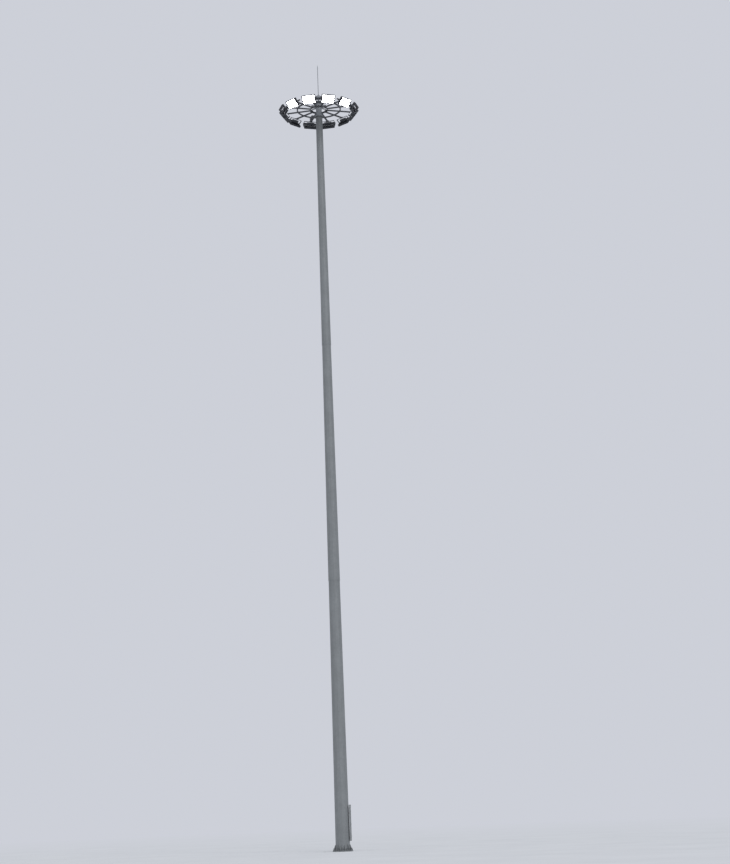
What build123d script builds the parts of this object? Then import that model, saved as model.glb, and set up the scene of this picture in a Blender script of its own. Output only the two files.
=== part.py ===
from build123d import *
from math import cos, radians, sin, sqrt, tan
import os

# High mast floodlight tower, about 30 m to the head plate, with a lowering lamp carriage.
# Millimetres. Z is up and the origin is the centre of the base flange's underside.
# The photo looks along +Y, so the service door sits on the hidden +Y side.

# Mast tube: three folded sections, each sleeved over the one below
side_count = 12
base_corner_radius = 272.5
radius_taper = 0.0053
wall = 8.0
fold_radius = 40.0
slip_clearance = 0.3
lower_joint_z = 10230.0
upper_joint_z = 19670.0
lower_overlap = 700.0
upper_overlap = 560.0
mast_top_z = 29330.0

# Base flange and its stiffening gussets
flange_radius = 390.0
flange_thickness = 30.0
flange_bore_radius = 150.0
flange_chamfer = 3.0
anchor_circle_radius = 340.0
anchor_hole_radius = 21.0
anchor_count = 12
gusset_thickness = 14.0
gusset_reach = 365.0
gusset_height = 220.0
gusset_toe = 30.0
gusset_top_land = 20.0
gusset_root = 200.0

# Service door on the back of the lowest section
door_opening_width = 250.0
door_opening_height = 900.0
door_opening_radius = 60.0
door_centre_z = 1100.0
door_frame_width = 40.0
door_frame_face_y = 290.0
door_lap = 26.0
door_thickness = 6.0
door_swage_width = 150.0
door_swage_height = 760.0
door_swage_depth = 3.0

# Mast head: bolted tube, head plate, rope pulleys, rain cap and lightning rod
head_flange_radius = 168.0
head_flange_thickness = 20.0
head_flange_bore = 95.0
head_bolt_circle = 145.0
head_bolt_hole_radius = 9.0
head_bolt_count = 8
head_tube_radius = 118.0
head_tube_wall = 6.0
head_tube_length = 560.0
head_plate_radius = 185.0
head_plate_thickness = 20.0
head_plate_edge = 4.0
rope_slot_width = 30.0
rope_slot_height = 70.0
rope_slot_corner = 14.0
bracket_root = 60.0
pulley_angles = (90.0, 210.0, 330.0)
pulley_drop = 145.0
pulley_axle_radius = 297.0
pulley_radius = 38.0
pulley_width = 28.0
pulley_groove_radius = 9.0
pulley_bore_radius = 10.2
pulley_axle_pin_radius = 10.0
pulley_axle_end = 6.0
pulley_cheek_thickness = 8.0
pulley_cheek_gap = 1.0
pulley_cheek_height = 66.0
pulley_cheek_nose = 26.0
dock_gap = 0.3
dock_pad_thickness = 15.0
dock_pad_inset = 4.0
dock_pad_corner = 4.0
dock_reach = 376.0
dock_thickness = 10.0
dock_nose = 22.0
dock_root = 110.0
dock_foot_length = 60.0
dock_foot_width = 60.0
dock_foot_thickness = 8.0
cap_spindle_radius = 24.0
cap_foot_radius = 50.0
cap_foot_thickness = 10.0
cap_lift = 215.0
cap_radius = 142.0
cap_height = 128.0
cap_skin = 5.0
cap_brim = 14.0
brim_lap = 2.0
rod_radius = 12.0
rod_length = 1332.0
rod_point_length = 90.0
rod_point_radius = 2.0
rod_socket_radius = 22.0
rod_socket_height = 60.0

# Carriage: guide ring, radial arms and the support ring between them
lamp_count = 12
first_lamp_angle = 15.0
arm_drop = 35.0
arm_width = 66.0
arm_height = 40.0
arm_wall = 4.0
guide_ring_inner_radius = 346.0
guide_ring_thickness = 10.0
guide_ring_height = 70.0
guide_ring_rise = 357.0
guide_ring_lip = 24.0
guide_ring_lip_thickness = 8.0
support_ring_radius = 880.0
support_ring_section = 50.0
support_ring_fillet = 8.0
roller_angles = (30.0, 150.0, 270.0)
roller_radius = 30.0
roller_width = 56.0
roller_axle_radius = 310.0
roller_bore_radius = 8.2
roller_pin_radius = 8.0
roller_axle_end = 5.0
roller_cheek_thickness = 6.0
roller_cheek_gap = 1.0
roller_cheek_height = 56.0
roller_cheek_nose = 18.0
lug_thickness = 16.0
lug_inner_radius = 322.0
lug_height = 60.0
lug_rope_hole_radius = 7.0

# One floodlight: an open frame with three finned modules, on a tilt yoke
lamp_tilt = 52.0
lamp_circle_radius = 1490.0
frame_end_rail = 30.0
frame_side_rail = 20.0
frame_height = 80.0
frame_corner = 14.0
frame_boss_radius = 26.0
frame_boss_thickness = 4.0
module_length = 490.0
module_depth = 80.0
module_pitch = 115.0
module_count = 3
module_seat_gap = 0.3
module_side_gap = 0.5
module_front = -30.0
module_base_thickness = 9.0
fin_count = 13
fin_thickness = 4.0
fin_tip = 10.0
lens_border = 5.0
lens_thickness = 7.0
lens_corner = 10.0
tray_depth = 92.0
tray_thickness = 4.0
driver_length = 300.0
driver_depth = 80.0
driver_height = 96.0
driver_corner = 10.0
driver_lid_overhang = 5.0
driver_lid_thickness = 6.0
yoke_strip_width = 50.0
yoke_strip_thickness = 6.0
yoke_reach = 200.0
yoke_tail = 25.0
yoke_seat_gap = 0.3
end_plate_length = 120.0
end_plate_depth = 104.0
end_plate_thickness = 8.0
end_plate_corner = 10.0

# Wiring box, on the arm seen left of the mast on its far side
junction_angle = 105.0
junction_ring_gap = 24.0
junction_end_gap = 40.0
junction_width = 120.0
junction_height = 90.0
junction_corner = 10.0
junction_lid_thickness = 8.0
junction_lid_overhang = 6.0
gland_radius = 14.0
gland_length = 30.0
gland_pitch = 36.0

# Values worked out from the sizes above
facet_cosine = cos(radians(180.0 / side_count))
wall_at_corner = wall / facet_cosine
sleeve_step = (wall + slip_clearance) / facet_cosine
lower_top_z = lower_joint_z + lower_overlap
middle_top_z = upper_joint_z + upper_overlap
tilt = radians(lamp_tilt)
yoke_back = yoke_reach + yoke_strip_thickness
arm_seat = yoke_back + end_plate_thickness
head_foot_z = mast_top_z + head_flange_thickness
head_tube_top_z = head_foot_z + head_tube_length
head_plate_top_z = head_tube_top_z + head_plate_thickness
pulley_axle_z = head_tube_top_z - pulley_drop
cap_rim_z = head_plate_top_z + cap_lift
crown_z = cap_rim_z + cap_height
rod_tip_z = crown_z + rod_length
guide_ring_top_z = mast_top_z + guide_ring_rise
arm_level_z = guide_ring_top_z - arm_drop
lamp_centre_z = arm_level_z - arm_seat * cos(tilt)
arm_end_radius = lamp_circle_radius - arm_seat * sin(tilt)
arm_bottom_z = arm_level_z - arm_height / 2
arm_top_z = arm_level_z + arm_height / 2
guide_ring_outer_radius = guide_ring_inner_radius + guide_ring_thickness
guide_ring_bottom_z = guide_ring_top_z - guide_ring_height
guide_ring_mid_z = guide_ring_top_z - guide_ring_height / 2
frame_opening_length = module_length + 2 * module_seat_gap
frame_opening_depth = (module_count - 1) * module_pitch + module_depth + 2 * module_side_gap
frame_length = frame_opening_length + 2 * frame_end_rail
frame_depth = frame_opening_depth + 2 * frame_side_rail
flat_angles = [(k + 0.5) * 360.0 / side_count for k in range(side_count)]
lamp_angles = [first_lamp_angle + k * 360.0 / lamp_count for k in range(lamp_count)]


def lower_radius(z):
    """Corner radius of the lowest section at height z."""
    return base_corner_radius - radius_taper * z


def middle_radius(z):
    """Corner radius of the middle section, sleeved over the lowest one."""
    return lower_radius(z) + sleeve_step


def upper_radius(z):
    """Corner radius of the top section, sleeved over the middle one."""
    return middle_radius(z) + sleeve_step


def radial_plane(angle):
    """Upright plane through the mast axis: local x is outward, local y is up."""
    a = radians(angle)
    return Plane(origin=(0, 0, 0), x_dir=(cos(a), sin(a), 0), z_dir=(sin(a), -cos(a), 0))


def outward_plane(angle, radius, z):
    """Plane that faces outward at a radius: local x is tangential, local y is up."""
    a = radians(angle)
    spot = (radius * cos(a), radius * sin(a), z)
    return Plane(origin=spot, x_dir=(-sin(a), cos(a), 0), z_dir=(cos(a), sin(a), 0))


def lamp_plane(angle):
    """Plane of one floodlight: x tangential, y up the slope, normal out of its back."""
    a = radians(angle)
    spot = (lamp_circle_radius * cos(a), lamp_circle_radius * sin(a), lamp_centre_z)
    back = (-sin(tilt) * cos(a), -sin(tilt) * sin(a), cos(tilt))
    return Plane(origin=spot, x_dir=(sin(a), -cos(a), 0), z_dir=back)


def lamp_section_plane(angle):
    """Cross-section plane of one floodlight: x tangential, local y out of its back."""
    a = radians(angle)
    spot = (lamp_circle_radius * cos(a), lamp_circle_radius * sin(a), lamp_centre_z)
    down_slope = (-cos(tilt) * cos(a), -cos(tilt) * sin(a), -sin(tilt))
    return Plane(origin=spot, x_dir=(sin(a), -cos(a), 0), z_dir=down_slope)


lamp_planes = [lamp_plane(angle) for angle in lamp_angles]
lamp_section_planes = [lamp_section_plane(angle) for angle in lamp_angles]
arm_planes = [radial_plane(angle) for angle in lamp_angles]
door_plane = Plane(origin=(0, 0, door_centre_z), x_dir=(-1, 0, 0), z_dir=(0, 1, 0))

# Base flange with its ring of anchor holes
with BuildPart() as base_flange:
    with BuildSketch():
        Circle(radius=flange_radius)
        Circle(radius=flange_bore_radius, mode=Mode.SUBTRACT)
        with PolarLocations(anchor_circle_radius, anchor_count):
            Circle(radius=anchor_hole_radius, mode=Mode.SUBTRACT)
    extrude(amount=flange_thickness)
    rim = base_flange.edges().filter_by(GeomType.CIRCLE).sort_by(SortBy.RADIUS)[-2:]
    chamfer(rim, length=flange_chamfer)

# Gussets stand on the flange, one on the middle of each flat of the tube
with BuildPart() as base_gussets:
    with BuildSketch(*[radial_plane(angle) for angle in flat_angles]):
        with BuildLine():
            Polyline(
                (gusset_root, flange_thickness),
                (gusset_reach, flange_thickness),
                (gusset_reach, flange_thickness + gusset_toe),
                (base_corner_radius + gusset_top_land, flange_thickness + gusset_height),
                (gusset_root, flange_thickness + gusset_height),
                close=True,
            )
        make_face()
    extrude(amount=gusset_thickness / 2, both=True)
    for z in (flange_thickness, flange_thickness + gusset_height):
        with BuildSketch(Plane.XY.offset(z)) as tube_outline:
            RegularPolygon(radius=lower_radius(z), side_count=side_count)
            fillet(tube_outline.vertices(), radius=fold_radius)
    loft(ruled=True, mode=Mode.SUBTRACT)

# Lowest section, with the door opening in its back
with BuildPart() as mast_lower:
    for z in (flange_thickness, lower_top_z):
        with BuildSketch(Plane.XY.offset(z)) as lower_outline:
            RegularPolygon(radius=lower_radius(z), side_count=side_count)
            fillet(lower_outline.vertices(), radius=fold_radius)
    loft(ruled=True)
    for z in (flange_thickness, lower_top_z):
        with BuildSketch(Plane.XY.offset(z)) as lower_bore:
            RegularPolygon(radius=lower_radius(z) - wall_at_corner, side_count=side_count)
            fillet(lower_bore.vertices(), radius=fold_radius - wall)
    loft(ruled=True, mode=Mode.SUBTRACT)
    with BuildSketch(door_plane):
        RectangleRounded(door_opening_width, door_opening_height, door_opening_radius)
    extrude(amount=base_corner_radius + wall, mode=Mode.SUBTRACT)

# Middle section, slipped over the top of the lowest one
with BuildPart() as mast_middle:
    for z in (lower_joint_z, middle_top_z):
        with BuildSketch(Plane.XY.offset(z)) as middle_outline:
            RegularPolygon(radius=middle_radius(z), side_count=side_count)
            fillet(middle_outline.vertices(), radius=fold_radius)
    loft(ruled=True)
    for z in (lower_joint_z, middle_top_z):
        with BuildSketch(Plane.XY.offset(z)) as middle_bore:
            RegularPolygon(radius=middle_radius(z) - wall_at_corner, side_count=side_count)
            fillet(middle_bore.vertices(), radius=fold_radius - wall)
    loft(ruled=True, mode=Mode.SUBTRACT)

# Top section, slipped over the top of the middle one
with BuildPart() as mast_upper:
    for z in (upper_joint_z, mast_top_z):
        with BuildSketch(Plane.XY.offset(z)) as upper_outline:
            RegularPolygon(radius=upper_radius(z), side_count=side_count)
            fillet(upper_outline.vertices(), radius=fold_radius)
    loft(ruled=True)
    for z in (upper_joint_z, mast_top_z):
        with BuildSketch(Plane.XY.offset(z)) as upper_bore:
            RegularPolygon(radius=upper_radius(z) - wall_at_corner, side_count=side_count)
            fillet(upper_bore.vertices(), radius=fold_radius - wall)
    loft(ruled=True, mode=Mode.SUBTRACT)

# Door frame, shaped to sit on the outside of the folded tube
with BuildPart() as door_frame:
    with BuildSketch(door_plane):
        RectangleRounded(
            door_opening_width + 2 * door_frame_width,
            door_opening_height + 2 * door_frame_width,
            door_opening_radius + door_frame_width,
        )
        RectangleRounded(
            door_opening_width,
            door_opening_height,
            door_opening_radius,
            mode=Mode.SUBTRACT,
        )
    extrude(amount=door_frame_face_y)
    for z in (flange_thickness, 2 * door_centre_z):
        with BuildSketch(Plane.XY.offset(z)) as mast_outline:
            RegularPolygon(radius=lower_radius(z), side_count=side_count)
            fillet(mast_outline.vertices(), radius=fold_radius)
    loft(ruled=True, mode=Mode.SUBTRACT)

# Door leaf, laid on the face of its frame, with a pressed panel
with BuildPart() as service_door:
    with BuildSketch(door_plane.offset(door_frame_face_y)):
        RectangleRounded(
            door_opening_width + 2 * door_lap,
            door_opening_height + 2 * door_lap,
            door_opening_radius + door_lap,
        )
    extrude(amount=door_thickness)
    with BuildSketch(door_plane.offset(door_frame_face_y + door_thickness)):
        RectangleRounded(door_swage_width, door_swage_height, door_opening_radius)
    extrude(amount=-door_swage_depth, mode=Mode.SUBTRACT)

# Flange welded on the top of the mast
with BuildPart() as mast_top_flange:
    with BuildSketch(Plane.XY.offset(mast_top_z)):
        Circle(radius=head_flange_radius)
        Circle(radius=head_flange_bore, mode=Mode.SUBTRACT)
        with PolarLocations(head_bolt_circle, head_bolt_count):
            Circle(radius=head_bolt_hole_radius, mode=Mode.SUBTRACT)
    extrude(amount=head_flange_thickness)

# Head tube with its own flange and a slot for each hoist rope
with BuildPart() as head_tube:
    with BuildSketch(Plane.XY.offset(head_foot_z)):
        Circle(radius=head_flange_radius)
        with PolarLocations(head_bolt_circle, head_bolt_count):
            Circle(radius=head_bolt_hole_radius, mode=Mode.SUBTRACT)
    extrude(amount=head_flange_thickness)
    with BuildSketch(Plane.XY.offset(head_foot_z)):
        Circle(radius=head_tube_radius)
    extrude(amount=head_tube_top_z - head_foot_z)
    with BuildSketch(Plane.XY.offset(head_foot_z)):
        Circle(radius=head_tube_radius - head_tube_wall)
    extrude(amount=head_tube_top_z - head_foot_z, mode=Mode.SUBTRACT)
    slot_z = pulley_axle_z + pulley_radius
    with BuildSketch(*[outward_plane(angle, 0, slot_z) for angle in pulley_angles]):
        RectangleRounded(rope_slot_width, rope_slot_height, rope_slot_corner)
    extrude(amount=head_plate_radius, mode=Mode.SUBTRACT)

# Round plate that closes the head
with BuildPart() as head_plate:
    with BuildSketch(Plane.XY.offset(head_tube_top_z)):
        Circle(radius=head_plate_radius)
    extrude(amount=head_plate_thickness)
    fillet(head_plate.edges().filter_by(GeomType.CIRCLE), radius=head_plate_edge)

# Pairs of cheek plates carry the pulleys out from the head tube
cheek_offset = pulley_width / 2 + pulley_cheek_gap
with BuildPart() as pulley_cheeks:
    with BuildSketch(*[radial_plane(angle) for angle in pulley_angles]):
        with BuildLine():
            Polyline(
                (bracket_root, pulley_axle_z - pulley_cheek_height / 2),
                (pulley_axle_radius, pulley_axle_z - pulley_cheek_nose),
                (pulley_axle_radius + pulley_cheek_nose, pulley_axle_z),
                (pulley_axle_radius, pulley_axle_z + pulley_cheek_nose),
                (bracket_root, pulley_axle_z + pulley_cheek_height / 2),
                close=True,
            )
        make_face()
        with Locations((pulley_axle_radius, pulley_axle_z)):
            Circle(radius=pulley_axle_pin_radius, mode=Mode.SUBTRACT)
    extrude(amount=cheek_offset + pulley_cheek_thickness, both=True)
    with BuildSketch(*[radial_plane(angle) for angle in pulley_angles]):
        with Locations((pulley_axle_radius, pulley_axle_z)):
            Rectangle(2 * pulley_axle_radius, 2 * pulley_cheek_height)
    extrude(amount=cheek_offset, both=True, mode=Mode.SUBTRACT)
    with BuildSketch(Plane.XY.offset(head_foot_z)):
        Circle(radius=head_tube_radius)
    extrude(amount=head_tube_top_z - head_foot_z, mode=Mode.SUBTRACT)

# Grooved rope pulleys
with BuildPart() as rope_pulleys:
    with BuildSketch(*[radial_plane(angle) for angle in pulley_angles]):
        with Locations((pulley_axle_radius, pulley_axle_z)):
            Circle(radius=pulley_radius)
            Circle(radius=pulley_bore_radius, mode=Mode.SUBTRACT)
    extrude(amount=pulley_width / 2, both=True)
    for angle in pulley_angles:
        across = outward_plane(angle, pulley_axle_radius, pulley_axle_z)
        with BuildSketch(across):
            with Locations((0, pulley_radius)):
                Circle(radius=pulley_groove_radius)
        revolve(axis=Axis(across.origin, across.x_dir), mode=Mode.SUBTRACT)

# Axle pins through the cheek plates
with BuildPart() as pulley_axles:
    with BuildSketch(*[radial_plane(angle) for angle in pulley_angles]):
        with Locations((pulley_axle_radius, pulley_axle_z)):
            Circle(radius=pulley_axle_pin_radius)
    extrude(amount=cheek_offset + pulley_cheek_thickness + pulley_axle_end, both=True)

# Docking arms that the guide ring is winched up against
arm_foot_z = guide_ring_top_z + dock_gap + dock_pad_thickness
with BuildPart() as docking_arms:
    with BuildSketch(*[radial_plane(angle) for angle in roller_angles]):
        with BuildLine():
            Polyline(
                (bracket_root, arm_foot_z),
                (dock_reach, arm_foot_z),
                (dock_reach, arm_foot_z + dock_nose),
                (bracket_root, arm_foot_z + dock_root),
                close=True,
            )
        make_face()
    extrude(amount=dock_thickness / 2, both=True)
    with BuildSketch(*[radial_plane(angle) for angle in roller_angles]):
        with Locations((dock_reach - dock_foot_length / 2, arm_foot_z + dock_foot_thickness / 2)):
            Rectangle(dock_foot_length, dock_foot_thickness)
    extrude(amount=dock_foot_width / 2, both=True)
    with BuildSketch(Plane.XY.offset(head_foot_z)):
        Circle(radius=head_tube_radius)
    extrude(amount=head_tube_top_z - head_foot_z, mode=Mode.SUBTRACT)

# Rubber buffers under the feet of the docking arms
with BuildPart() as docking_buffers:
    with BuildSketch(*[radial_plane(angle) for angle in roller_angles]):
        pad_z = guide_ring_top_z + dock_gap + dock_pad_thickness / 2
        with Locations((dock_reach - dock_foot_length / 2, pad_z)):
            Rectangle(dock_foot_length - 2 * dock_pad_inset, dock_pad_thickness)
    extrude(amount=dock_foot_width / 2 - dock_pad_inset, both=True)
    fillet(docking_buffers.edges().filter_by(Axis.Z), radius=dock_pad_corner)

# Spindle that holds the rain cap above the head plate
dome_radius = (cap_radius**2 + cap_height**2) / (2 * cap_height)
dome_centre_z = cap_rim_z + cap_height - dome_radius
cap_seat_z = dome_centre_z + sqrt((dome_radius - cap_skin) ** 2 - cap_spindle_radius**2)
with BuildPart() as cap_stand:
    with BuildSketch(Plane.XY.offset(head_plate_top_z)):
        Circle(radius=cap_spindle_radius)
    extrude(amount=cap_seat_z - head_plate_top_z)
    with BuildSketch(Plane.XY.offset(head_plate_top_z)):
        Circle(radius=cap_foot_radius)
    extrude(amount=cap_foot_thickness)

# Domed rain cap, open underneath, with a short upright brim
with BuildPart() as rain_cap:
    with BuildSketch(Plane.XZ):
        with Locations((0, dome_centre_z)):
            Circle(radius=dome_radius)
            Circle(radius=dome_radius - cap_skin, mode=Mode.SUBTRACT)
        with Locations((0, cap_rim_z - dome_radius)):
            Rectangle(4 * dome_radius, 2 * dome_radius, mode=Mode.SUBTRACT)
        with Locations((-2 * dome_radius, cap_rim_z)):
            Rectangle(4 * dome_radius, 4 * dome_radius, mode=Mode.SUBTRACT)
        with Locations((cap_radius - cap_skin / 2, cap_rim_z + brim_lap - cap_brim / 2)):
            Rectangle(cap_skin, cap_brim)
    revolve(axis=Axis.Z)

# Lightning rod in a socket on the crown of the cap
with BuildPart() as lightning_rod:
    with BuildSketch(Plane.XY.offset(crown_z - rod_socket_radius)):
        Circle(radius=rod_socket_radius)
    extrude(amount=rod_socket_height)
    with BuildSketch(Plane.XY.offset(crown_z)):
        Circle(radius=rod_radius)
    extrude(amount=rod_tip_z - rod_point_length - crown_z)
    with Locations((0, 0, rod_tip_z - rod_point_length / 2)):
        Cone(bottom_radius=rod_radius, top_radius=rod_point_radius, height=rod_point_length)
    with Locations((0, 0, dome_centre_z)):
        Sphere(radius=dome_radius, mode=Mode.SUBTRACT)

# Guide ring of the carriage: a rolled band with a lip along its lower edge
with BuildPart() as guide_ring:
    with BuildSketch(Plane.XY.offset(guide_ring_bottom_z)):
        Circle(radius=guide_ring_outer_radius)
        Circle(radius=guide_ring_inner_radius, mode=Mode.SUBTRACT)
    extrude(amount=guide_ring_height)
    with BuildSketch(Plane.XY.offset(guide_ring_bottom_z)):
        Circle(radius=guide_ring_outer_radius + guide_ring_lip)
        Circle(radius=guide_ring_inner_radius, mode=Mode.SUBTRACT)
    extrude(amount=guide_ring_lip_thickness)

# Twelve square-cut arms, mitred at the outer end to take the yoke plates
mitre_bottom = arm_end_radius + (arm_bottom_z - arm_level_z) / tan(tilt)
mitre_top = arm_end_radius + (arm_top_z - arm_level_z) / tan(tilt)
with BuildPart() as lamp_arms:
    with BuildSketch(*arm_planes):
        with BuildLine():
            Polyline(
                (guide_ring_inner_radius, arm_bottom_z),
                (mitre_bottom, arm_bottom_z),
                (mitre_top, arm_top_z),
                (guide_ring_inner_radius, arm_top_z),
                close=True,
            )
        make_face()
    extrude(amount=arm_width / 2, both=True)
    with BuildSketch(*arm_planes):
        with Locations((arm_end_radius / 2, arm_level_z)):
            Rectangle(2 * arm_end_radius, arm_height - 2 * arm_wall)
        with Locations((-arm_end_radius, arm_level_z)):
            Rectangle(2 * arm_end_radius, arm_height, mode=Mode.SUBTRACT)
    extrude(amount=arm_width / 2 - arm_wall, both=True, mode=Mode.SUBTRACT)
    with BuildSketch(Plane.XY.offset(guide_ring_bottom_z)):
        Circle(radius=guide_ring_outer_radius)
    extrude(amount=guide_ring_height, mode=Mode.SUBTRACT)

# Plates on the mitred ends of the arms
with BuildPart() as arm_end_plates:
    with BuildSketch(*[plane.offset(yoke_back) for plane in lamp_planes]):
        RectangleRounded(end_plate_length, end_plate_depth, end_plate_corner)
    extrude(amount=end_plate_thickness)

# Support ring, level with the arms: its twelve lengths are welded in between them
with BuildPart() as support_ring:
    with BuildSketch(Plane.XY.offset(arm_level_z - support_ring_section / 2)):
        Circle(radius=support_ring_radius + support_ring_section / 2)
        Circle(radius=support_ring_radius - support_ring_section / 2, mode=Mode.SUBTRACT)
    extrude(amount=support_ring_section)
    rolled_edges = support_ring.edges().filter_by(GeomType.CIRCLE)
    fillet(rolled_edges, radius=support_ring_fillet)
    with BuildSketch(*arm_planes):
        with Locations((support_ring_radius, arm_level_z)):
            Rectangle(2 * support_ring_section, 2 * support_ring_section)
    extrude(amount=arm_width / 2, both=True, mode=Mode.SUBTRACT)

# Roller forks on the inside of the guide ring
fork_offset = roller_width / 2 + roller_cheek_gap
with BuildPart() as roller_forks:
    with BuildSketch(*[radial_plane(angle) for angle in roller_angles]):
        with BuildLine():
            Polyline(
                (guide_ring_outer_radius, guide_ring_mid_z - roller_cheek_height / 2),
                (guide_ring_outer_radius, guide_ring_mid_z + roller_cheek_height / 2),
                (roller_axle_radius, guide_ring_mid_z + roller_cheek_nose),
                (roller_axle_radius - roller_cheek_nose, guide_ring_mid_z),
                (roller_axle_radius, guide_ring_mid_z - roller_cheek_nose),
                close=True,
            )
        make_face()
        with Locations((roller_axle_radius, guide_ring_mid_z)):
            Circle(radius=roller_pin_radius, mode=Mode.SUBTRACT)
    extrude(amount=fork_offset + roller_cheek_thickness, both=True)
    with BuildSketch(*[radial_plane(angle) for angle in roller_angles]):
        with Locations((roller_axle_radius, guide_ring_mid_z)):
            Rectangle(2 * (guide_ring_outer_radius - roller_axle_radius), 2 * roller_cheek_height)
    extrude(amount=fork_offset, both=True, mode=Mode.SUBTRACT)
    with BuildSketch(Plane.XY.offset(guide_ring_bottom_z)):
        Circle(radius=2 * guide_ring_outer_radius)
        Circle(radius=guide_ring_inner_radius, mode=Mode.SUBTRACT)
    extrude(amount=guide_ring_height, mode=Mode.SUBTRACT)

# Soft guide rollers that keep the carriage off the mast
with BuildPart() as guide_rollers:
    with BuildSketch(*[radial_plane(angle) for angle in roller_angles]):
        with Locations((roller_axle_radius, guide_ring_mid_z)):
            Circle(radius=roller_radius)
            Circle(radius=roller_bore_radius, mode=Mode.SUBTRACT)
    extrude(amount=roller_width / 2, both=True)

# Axle pins of the guide rollers
with BuildPart() as roller_axles:
    with BuildSketch(*[radial_plane(angle) for angle in roller_angles]):
        with Locations((roller_axle_radius, guide_ring_mid_z)):
            Circle(radius=roller_pin_radius)
    extrude(amount=fork_offset + roller_cheek_thickness + roller_axle_end, both=True)

# Lugs that take the ends of the hoist ropes, straight under the pulleys
with BuildPart() as rope_lugs:
    lug_mid_z = guide_ring_top_z - lug_height / 2
    with BuildSketch(*[radial_plane(angle) for angle in pulley_angles]):
        with Locations(((lug_inner_radius + guide_ring_outer_radius) / 2, lug_mid_z)):
            Rectangle(guide_ring_outer_radius - lug_inner_radius, lug_height)
        with Locations((pulley_axle_radius + pulley_radius, lug_mid_z + lug_height / 4)):
            Circle(radius=lug_rope_hole_radius, mode=Mode.SUBTRACT)
    extrude(amount=lug_thickness / 2, both=True)
    with BuildSketch(Plane.XY.offset(guide_ring_bottom_z)):
        Circle(radius=2 * guide_ring_outer_radius)
        Circle(radius=guide_ring_inner_radius, mode=Mode.SUBTRACT)
    extrude(amount=guide_ring_height, mode=Mode.SUBTRACT)

# Tilt yokes: one bent strip each, bolted to its arm plate
yoke_inner = frame_length / 2 + frame_boss_thickness + yoke_seat_gap
with BuildPart() as lamp_yokes:
    with BuildSketch(*lamp_section_planes):
        with Locations((0, (yoke_back - yoke_tail) / 2)):
            Rectangle(2 * (yoke_inner + yoke_strip_thickness), yoke_back + yoke_tail)
        with Locations((0, (yoke_reach - yoke_tail) / 2)):
            Rectangle(2 * yoke_inner, yoke_reach + yoke_tail, mode=Mode.SUBTRACT)
    extrude(amount=yoke_strip_width / 2, both=True)

# Open rectangular floodlight frames with a pivot boss on each end
with BuildPart() as lamp_frames:
    with BuildSketch(*lamp_planes):
        RectangleRounded(frame_length, frame_depth, frame_corner)
        Rectangle(frame_opening_length, frame_opening_depth, mode=Mode.SUBTRACT)
    extrude(amount=frame_height / 2, both=True)
    for plane in lamp_planes:
        for side in (-1, 1):
            face = Plane(
                origin=plane.from_local_coords((side * frame_length / 2, 0, 0)),
                x_dir=plane.y_dir,
                z_dir=plane.x_dir * side,
            )
            with BuildSketch(face):
                Circle(radius=frame_boss_radius)
            extrude(amount=frame_boss_thickness)

# Finned modules: three to a floodlight, with open gaps between them
fin_pitch = (module_length - fin_thickness) / (fin_count - 1)
with BuildPart() as led_modules:
    for row in range(module_count):
        shift = (row - (module_count - 1) / 2) * module_pitch
        with BuildSketch(*[plane.offset(shift) for plane in lamp_section_planes]):
            with Locations((0, module_front + module_base_thickness / 2)):
                Rectangle(module_length, module_base_thickness)
            with Locations((0, (module_front + fin_tip) / 2)):
                with GridLocations(fin_pitch, 0, fin_count, 1):
                    Rectangle(fin_thickness, fin_tip - module_front)
        extrude(amount=module_depth / 2, both=True)

# Clear lens panels on the front of the modules
with BuildPart() as led_lenses:
    with BuildSketch(*[plane.offset(module_front) for plane in lamp_planes]):
        with GridLocations(0, module_pitch, 1, module_count):
            RectangleRounded(
                module_length - 2 * lens_border,
                module_depth - 2 * lens_border,
                lens_corner,
            )
    extrude(amount=-lens_thickness)

# Driver boxes on a tray across the back of each frame
tray_back = frame_height / 2 + tray_thickness
with BuildPart() as driver_boxes:
    with BuildSketch(*[plane.offset(frame_height / 2) for plane in lamp_planes]):
        Rectangle(frame_length, tray_depth)
    extrude(amount=tray_thickness)
    with BuildSketch(*[plane.offset(tray_back) for plane in lamp_planes]):
        RectangleRounded(driver_length, driver_depth, driver_corner)
    extrude(amount=driver_height)
    with BuildSketch(*[plane.offset(tray_back + driver_height) for plane in lamp_planes]):
        RectangleRounded(
            driver_length + 2 * driver_lid_overhang,
            driver_depth + 2 * driver_lid_overhang,
            driver_corner + driver_lid_overhang,
        )
    extrude(amount=driver_lid_thickness)

# Wiring box on one arm, with a lid and a row of cable glands
junction_plane = radial_plane(junction_angle)
junction_inner = support_ring_radius + support_ring_section / 2 + junction_ring_gap
junction_outer = arm_end_radius - junction_end_gap
junction_length = junction_outer - junction_inner
junction_middle = (junction_inner + junction_outer) / 2
junction_top = Plane(
    origin=junction_plane.from_local_coords((junction_middle, arm_top_z, 0)),
    x_dir=junction_plane.x_dir,
    z_dir=(0, 0, 1),
)
with BuildPart() as junction_box:
    with BuildSketch(junction_top):
        RectangleRounded(junction_length, junction_width, junction_corner)
    extrude(amount=junction_height)
    with BuildSketch(junction_top.offset(junction_height)):
        RectangleRounded(
            junction_length + 2 * junction_lid_overhang,
            junction_width + 2 * junction_lid_overhang,
            junction_corner + junction_lid_overhang,
        )
    extrude(amount=junction_lid_thickness)
    gland_z = arm_top_z + junction_height / 2
    with BuildSketch(outward_plane(junction_angle, junction_outer, gland_z)):
        with GridLocations(gland_pitch, 0, 3, 1):
            Circle(radius=gland_radius)
    extrude(amount=gland_length)

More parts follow.
